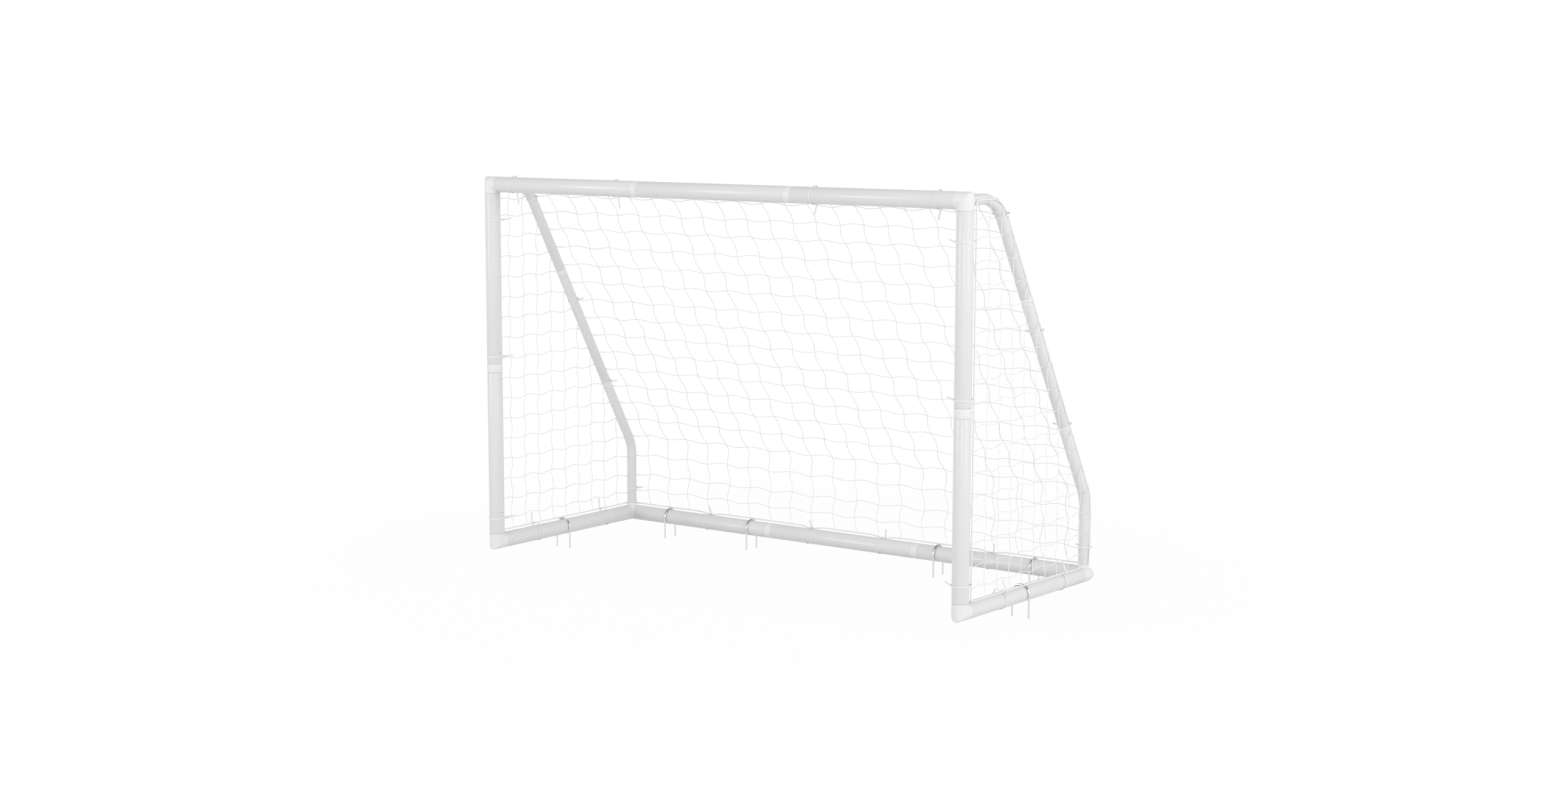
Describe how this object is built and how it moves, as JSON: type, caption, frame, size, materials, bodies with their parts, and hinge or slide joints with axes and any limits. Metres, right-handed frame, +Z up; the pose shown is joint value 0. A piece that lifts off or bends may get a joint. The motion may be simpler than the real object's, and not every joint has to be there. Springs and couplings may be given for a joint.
{
  "type": "junior football goal",
  "caption": "Junior football goal of white round pipe with a sloping back, bent rear stays, push-button couplings, netting and wire ground pegs.",
  "frame": {"origin": "on the ground under the middle of the goal, at the level of the ground pegs' tips", "axes": "+X along the crossbar, +Y from the mouth to the back, +Z up"},
  "size_m": [1.8416, 0.7558, 1.267],
  "materials": {
    "pipe": "smooth satin white coating",
    "moulding": "satin moulded white",
    "wire": "bright plated wire",
    "spring": "bright spring steel",
    "net": "twisted white twine",
    "rope": "braided white cord"
  },
  "bodies": {
    "goal": {"corner_front_L": "moulding", "corner_front_R": "moulding", "corner_rear_L": "moulding", "corner_rear_R": "moulding", "corner_top_L": "moulding", "corner_top_R": "moulding", "crossbar_coupling_L": "moulding", "crossbar_coupling_R": "moulding", "crossbar_left": "pipe", "crossbar_middle": "pipe", "crossbar_right": "pipe", "net_foot": "net", "net_slope": "net", "net_top": "net", "post_coupling_L": "moulding", "post_coupling_R": "moulding", "post_lower_L": "pipe", "post_lower_R": "pipe", "post_upper_L": "pipe", "post_upper_R": "pipe", "rear_rail_coupling_L": "moulding", "rear_rail_coupling_R": "moulding", "rear_rail_left": "pipe", "rear_rail_middle": "pipe", "rear_rail_right": "pipe", "rear_rope": "rope", "side_net_L": "net", "side_net_R": "net", "side_rail_L": "pipe", "side_rail_R": "pipe", "side_rope_L": "rope", "side_rope_R": "rope", "stay_coupling_lower_L": "moulding", "stay_coupling_lower_R": "moulding", "stay_coupling_upper_L": "moulding", "stay_coupling_upper_R": "moulding", "stay_foot_L": "pipe", "stay_foot_R": "pipe", "stay_middle_L": "pipe", "stay_middle_R": "pipe", "stay_top_L": "pipe", "stay_top_R": "pipe", "top_rope": "rope"},
    "foot_button_L": {"foot_button_L": "spring"},
    "foot_button_R": {"foot_button_R": "spring"},
    "lower_button_L": {"lower_button_L": "spring"},
    "lower_button_R": {"lower_button_R": "spring"},
    "rail_button_L": {"rail_button_L": "spring"},
    "rail_button_R": {"rail_button_R": "spring"},
    "rear_peg_1": {"rear_peg_1": "wire"},
    "rear_peg_2": {"rear_peg_2": "wire"},
    "rear_peg_3": {"rear_peg_3": "wire"},
    "rear_peg_4": {"rear_peg_4": "wire"},
    "side_peg_L": {"side_peg_L": "wire"},
    "side_peg_R": {"side_peg_R": "wire"},
    "upper_button_L": {"upper_button_L": "spring"},
    "upper_button_R": {"upper_button_R": "spring"}
  },
  "joints": [
    {"name": "foot_button_L_press", "type": "slide", "parent": "goal", "child": "foot_button_L", "axis": [-1, 0, 0], "range_m": [0, 0.004], "stiffness_N_per_m": 600},
    {"name": "foot_button_R_press", "type": "slide", "parent": "goal", "child": "foot_button_R", "axis": [1, 0, 0], "range_m": [0, 0.004], "stiffness_N_per_m": 600},
    {"name": "lower_button_L_press", "type": "slide", "parent": "goal", "child": "lower_button_L", "axis": [-1, 0, 0], "range_m": [0, 0.004], "stiffness_N_per_m": 600},
    {"name": "lower_button_R_press", "type": "slide", "parent": "goal", "child": "lower_button_R", "axis": [1, 0, 0], "range_m": [0, 0.004], "stiffness_N_per_m": 600},
    {"name": "rail_button_L_press", "type": "slide", "parent": "goal", "child": "rail_button_L", "axis": [-1, 0, 0], "range_m": [0, 0.004], "stiffness_N_per_m": 600},
    {"name": "rail_button_R_press", "type": "slide", "parent": "goal", "child": "rail_button_R", "axis": [1, 0, 0], "range_m": [0, 0.004], "stiffness_N_per_m": 600},
    {"name": "rear_peg_1_pull", "type": "slide", "parent": "goal", "child": "rear_peg_1", "axis": [0, 0, 1], "range_m": [0, 0.1]},
    {"name": "rear_peg_2_pull", "type": "slide", "parent": "goal", "child": "rear_peg_2", "axis": [0, 0, 1], "range_m": [0, 0.1]},
    {"name": "rear_peg_3_pull", "type": "slide", "parent": "goal", "child": "rear_peg_3", "axis": [0, 0, 1], "range_m": [0, 0.1]},
    {"name": "rear_peg_4_pull", "type": "slide", "parent": "goal", "child": "rear_peg_4", "axis": [0, 0, 1], "range_m": [0, 0.1]},
    {"name": "side_peg_L_pull", "type": "slide", "parent": "goal", "child": "side_peg_L", "axis": [0, 0, 1], "range_m": [0, 0.1]},
    {"name": "side_peg_R_pull", "type": "slide", "parent": "goal", "child": "side_peg_R", "axis": [0, 0, 1], "range_m": [0, 0.1]},
    {"name": "upper_button_L_press", "type": "slide", "parent": "goal", "child": "upper_button_L", "axis": [-1, 0, 0], "range_m": [0, 0.004], "stiffness_N_per_m": 600},
    {"name": "upper_button_R_press", "type": "slide", "parent": "goal", "child": "upper_button_R", "axis": [1, 0, 0], "range_m": [0, 0.004], "stiffness_N_per_m": 600}
  ]
}
